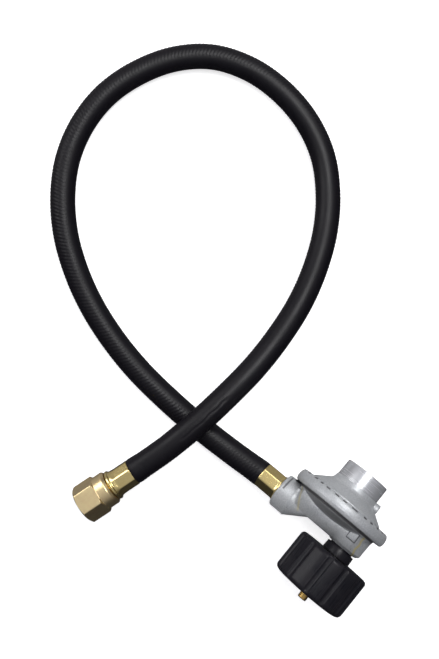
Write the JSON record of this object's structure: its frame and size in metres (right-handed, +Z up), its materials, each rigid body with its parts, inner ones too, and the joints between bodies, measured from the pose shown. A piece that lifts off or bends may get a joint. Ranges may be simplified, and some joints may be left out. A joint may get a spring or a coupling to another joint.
{
  "type": "propane regulator hose",
  "caption": "Low-pressure gas regulator with a hand-tightened cylinder nut, and a looped rubber hose that ends in a flare swivel nut.",
  "frame": {"origin": "middle of the underside of the regulator's own box, without the hose and the flare end, as the part lies on a floor", "axes": "+X runs along the regulator's main axis from the hand nut to the spring tower, +Z is up, and +Y points the way the outlet faces, level with the floor"},
  "size_m": [0.2968, 0.3264, 0.0654],
  "materials": {
    "casting": "satin",
    "brass": "polished",
    "nut_brass": "satin",
    "steel": "satin",
    "black_plastic": "matte",
    "nut_plastic": "semi-gloss",
    "black_rubber": "matte",
    "hose_rubber": "satin"
  },
  "bodies": {
    "regulator": {"lower_body": "casting", "bonnet": "casting", "bonnet_cap": "casting", "main_spring": "steel", "diaphragm": "black_rubber", "vent_screen": "brass", "lever_pin": "steel", "orifice_nozzle": "brass", "inlet_nipple": "brass", "nose_seal": "black_rubber", "thermal_bushing": "black_plastic", "excess_flow_spring": "steel", "poppet_cage": "brass", "outlet_stem": "brass", "outlet_ferrule": "brass", "hose": "hose_rubber", "flare_ferrule": "brass", "flare_stem": "brass"},
    "stem": {"relief_stem": "brass", "relief_retainer": "steel", "relief_spring": "steel"},
    "plate": {"diaphragm_plate": "steel"},
    "lever": {"lever": "steel", "valve_disc": "black_rubber"},
    "hand_nut": {"hand_nut": "nut_plastic"},
    "flare_nut": {"flare_nut": "nut_brass"},
    "poppet": {"excess_flow_poppet": "brass"},
    "spring_seat": {"spring_seat": "steel"},
    "adjusting_screw": {"adjusting_screw": "steel"}
  },
  "joints": [
    {"name": "hand_nut_spin", "type": "hinge", "parent": "regulator", "child": "hand_nut", "pos_m": [-0.0232, -0.02014, 0.03734], "axis": [1, 0, 0], "continuous": true},
    {"name": "flare_nut_spin", "type": "hinge", "parent": "regulator", "child": "flare_nut", "pos_m": [-0.07573, 0.11278, 0.01341], "axis": [-0.9531, 0.2769, -0.1219], "continuous": true},
    {"name": "diaphragm_travel", "type": "slide", "parent": "regulator", "child": "stem", "axis": [1, 0, 0], "range_m": [-0.0012, 0.0012], "stiffness_N_per_m": 2000, "deforming": ["main_spring", "diaphragm"]},
    {"name": "relief_lift", "type": "slide", "parent": "stem", "child": "plate", "axis": [1, 0, 0], "range_m": [0, 0.0015], "stiffness_N_per_m": 1500, "deforming": ["relief_spring", "main_spring", "diaphragm"]},
    {"name": "lever_swing", "type": "hinge", "parent": "regulator", "child": "lever", "pos_m": [0.0112, -0.01443, 0.03548], "axis": [0, 0.309, 0.9511], "range_deg": [-7.7, 7.7]},
    {"name": "poppet_travel", "type": "slide", "parent": "regulator", "child": "poppet", "axis": [1, 0, 0], "range_m": [0, 0.0023], "stiffness_N_per_m": 60, "deforming": ["excess_flow_spring"]},
    {"name": "adjuster_advance", "type": "slide", "parent": "regulator", "child": "spring_seat", "axis": [1, 0, 0], "range_m": [-0.003, 0.0015], "deforming": ["main_spring"]},
    {"name": "adjuster_turn", "type": "hinge", "parent": "spring_seat", "child": "adjusting_screw", "pos_m": [0.0358, -0.00587, 0.0327], "axis": [1, 0, 0], "range_deg": [-721, 361]}
  ],
  "couplings": [
    {"joint": "lever_swing", "follows": "diaphragm_travel", "rad_per_m": -111.11},
    {"joint": "adjuster_turn", "follows": "adjuster_advance", "rad_per_m": 4188.8}
  ]
}
